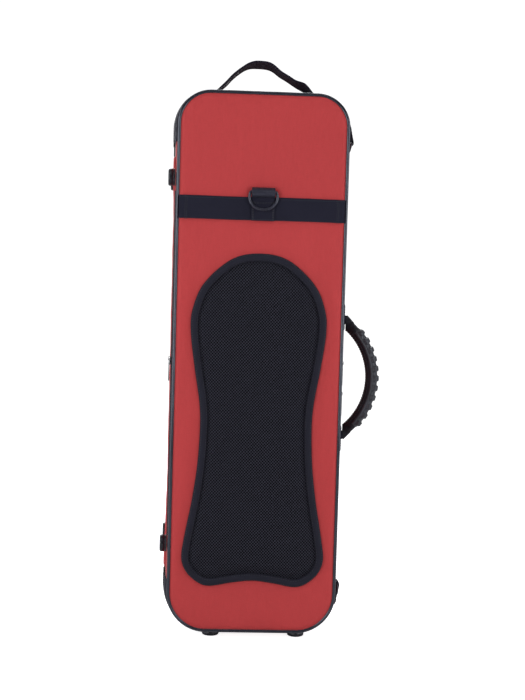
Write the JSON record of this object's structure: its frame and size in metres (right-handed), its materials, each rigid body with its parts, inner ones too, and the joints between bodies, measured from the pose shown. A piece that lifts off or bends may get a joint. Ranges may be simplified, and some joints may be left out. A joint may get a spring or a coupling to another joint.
{
  "type": "violin case",
  "caption": "Oblong red fabric violin case with black piping, a padded mesh back, webbing loops, a ribbed carry handle and a hinged lid over a plush bay.",
  "frame": {"origin": "centre of the outer box, at the level of the end feet", "axes": "+Z along the case towards the webbing top handle, +X towards the carry handle, -Y out of the padded back"},
  "size_m": [0.3182, 0.1599, 0.8397],
  "materials": {
    "red_cordura": "matte plain-weave nylon canvas",
    "black_piping": "satin vinyl piping",
    "air_mesh": "matte spacer mesh with small cells",
    "black_fabric": "matte fine weave",
    "black_webbing": "ribbed polypropylene webbing",
    "zip_tape": "woven zip tape with nylon coil",
    "black_metal": "black lacquer, semi-gloss",
    "black_rubber": "smooth satin rubber",
    "black_plastic": "moulded, satin",
    "plush": "short-pile plush"
  },
  "bodies": {
    "case_body": {"body_shell": "red_cordura", "back_panel": "red_cordura", "hinge_strip": "red_cordura", "back_piping": "black_piping", "back_pad": "air_mesh", "back_pad_rim": "black_fabric", "back_band": "black_webbing", "d_ring_tab": "black_webbing", "handle_anchor_upper": "black_webbing", "handle_anchor_lower": "black_webbing", "top_handle_anchor_left": "black_webbing", "top_handle_anchor_right": "black_webbing", "corner_tab_top": "black_webbing", "corner_tab_bottom": "black_webbing", "body_zip_tape": "zip_tape", "pocket_zip_tape": "zip_tape", "body_side_foot_upper": "black_rubber", "body_side_foot_lower": "black_rubber", "body_end_foot_left": "black_rubber", "body_end_foot_right": "black_rubber", "body_lining": "plush", "insert_left": "plush", "insert_right": "plush", "neck_cradle": "plush", "top_box": "plush", "side_box": "plush"},
    "lid": {"lid_shell": "red_cordura", "lid_panel": "red_cordura", "lid_piping": "black_piping", "lid_zip_tape": "zip_tape", "lid_pocket_zip": "zip_tape", "lid_side_foot_upper": "black_rubber", "lid_side_foot_lower": "black_rubber", "lid_end_foot_left": "black_rubber", "lid_end_foot_right": "black_rubber", "lid_lining": "plush", "bow_tip_pocket": "plush"},
    "side_handle": {"side_handle_core": "black_fabric", "side_handle_grip": "black_rubber"},
    "top_handle": {"top_handle_strap": "black_webbing"},
    "back_ring": {"back_d_ring": "black_metal"},
    "main_slider_upper": {"main_zip_slider_upper": "black_metal"},
    "main_slider_lower": {"main_zip_slider_lower": "black_metal"},
    "main_pull_upper": {"main_zip_pull_upper": "black_metal"},
    "main_pull_lower": {"main_zip_pull_lower": "black_metal"},
    "pocket_slider": {"pocket_zip_slider": "black_metal"},
    "pocket_pull": {"pocket_zip_pull": "black_metal"},
    "front_slider": {"lid_zip_slider": "black_metal"},
    "front_pull": {"lid_zip_pull": "black_metal"},
    "spinner_left": {"bow_spinner_left": "black_plastic"},
    "spinner_right": {"bow_spinner_right": "black_plastic"},
    "top_box_cover": {"top_box_lid": "plush"},
    "side_box_cover": {"side_box_lid": "plush"},
    "neck_strap_flap": {"neck_strap": "black_fabric"},
    "ring_top": {"corner_ring_top": "black_metal"},
    "ring_bottom": {"corner_ring_bottom": "black_metal"}
  },
  "joints": [
    {"name": "lid_hinge", "type": "hinge", "parent": "case_body", "child": "lid", "pos_m": [-0.1531, 0.016, 0.4], "axis": [0, 0, 1], "range_deg": [0, 110]},
    {"name": "carry_handle_swing", "type": "hinge", "parent": "case_body", "child": "side_handle", "pos_m": [0.1099, -0.008, 0.3815], "axis": [0, 0, 1], "range_deg": [-50, 50]},
    {"name": "top_handle_swing", "type": "hinge", "parent": "case_body", "child": "top_handle", "pos_m": [-0.0221, -0.008, 0.795], "axis": [1, 0, 0], "range_deg": [-45, 40], "stiffness_Nm_per_rad": 0.1},
    {"name": "back_ring_swing", "type": "hinge", "parent": "case_body", "child": "back_ring", "pos_m": [-0.0229, -0.074, 0.6475], "axis": [-1, 0, 0], "range_deg": [0, 170]},
    {"name": "ring_top_swing", "type": "hinge", "parent": "case_body", "child": "ring_top", "pos_m": [0.1067, -0.005, 0.7265], "axis": [0, -1, 0], "range_deg": [0, 150]},
    {"name": "ring_bottom_swing", "type": "hinge", "parent": "case_body", "child": "ring_bottom", "pos_m": [0.1067, -0.005, 0.0706], "axis": [0, -1, 0], "range_deg": [0, 165]},
    {"name": "main_zip_upper", "type": "slide", "parent": "case_body", "child": "main_slider_upper", "axis": [0, 0, 1], "range_m": [0, 0.3]},
    {"name": "main_zip_lower", "type": "slide", "parent": "case_body", "child": "main_slider_lower", "axis": [0, 0, 1], "range_m": [-0.22, 0]},
    {"name": "main_pull_upper_swing", "type": "hinge", "parent": "main_slider_upper", "child": "main_pull_upper", "pos_m": [0.1078, 0.016, 0.401], "axis": [0, -1, 0], "range_deg": [0, 150]},
    {"name": "main_pull_lower_swing", "type": "hinge", "parent": "main_slider_lower", "child": "main_pull_lower", "pos_m": [0.1078, 0.016, 0.355], "axis": [0, -1, 0], "range_deg": [0, 150]},
    {"name": "pocket_zip", "type": "slide", "parent": "case_body", "child": "pocket_slider", "axis": [0, 0, 1], "range_m": [-0.245, 0.235]},
    {"name": "pocket_pull_swing", "type": "hinge", "parent": "pocket_slider", "child": "pocket_pull", "pos_m": [-0.15143, -0.054, 0.4065], "axis": [0, 1, 0], "range_deg": [0, 150]},
    {"name": "front_zip", "type": "slide", "parent": "lid", "child": "front_slider", "axis": [1, 0, 0], "range_m": [0, 0.144]},
    {"name": "front_pull_swing", "type": "hinge", "parent": "front_slider", "child": "front_pull", "pos_m": [-0.0961, 0.0793, 0.661], "axis": [1, 0, 0], "range_deg": [0, 150]},
    {"name": "spinner_left_turn", "type": "hinge", "parent": "lid", "child": "spinner_left", "pos_m": [-0.0691, 0.0597, 0.165], "axis": [0, -1, 0], "range_deg": [-90, 90]},
    {"name": "spinner_right_turn", "type": "hinge", "parent": "lid", "child": "spinner_right", "pos_m": [0.0209, 0.0597, 0.165], "axis": [0, -1, 0], "range_deg": [-90, 90]},
    {"name": "top_box_lid_hinge", "type": "hinge", "parent": "case_body", "child": "top_box_cover", "pos_m": [-0.0241, -0.0062, 0.7765], "axis": [1, 0, 0], "range_deg": [0, 90]},
    {"name": "side_box_lid_hinge", "type": "hinge", "parent": "case_body", "child": "side_box_cover", "pos_m": [-0.1336, -0.0142, 0.535], "axis": [0, 0, 1], "range_deg": [0, 90]},
    {"name": "neck_strap_hinge", "type": "hinge", "parent": "case_body", "child": "neck_strap_flap", "pos_m": [0.0104, -0.0063, 0.49], "axis": [0, 0, -1], "range_deg": [0, 150]}
  ]
}
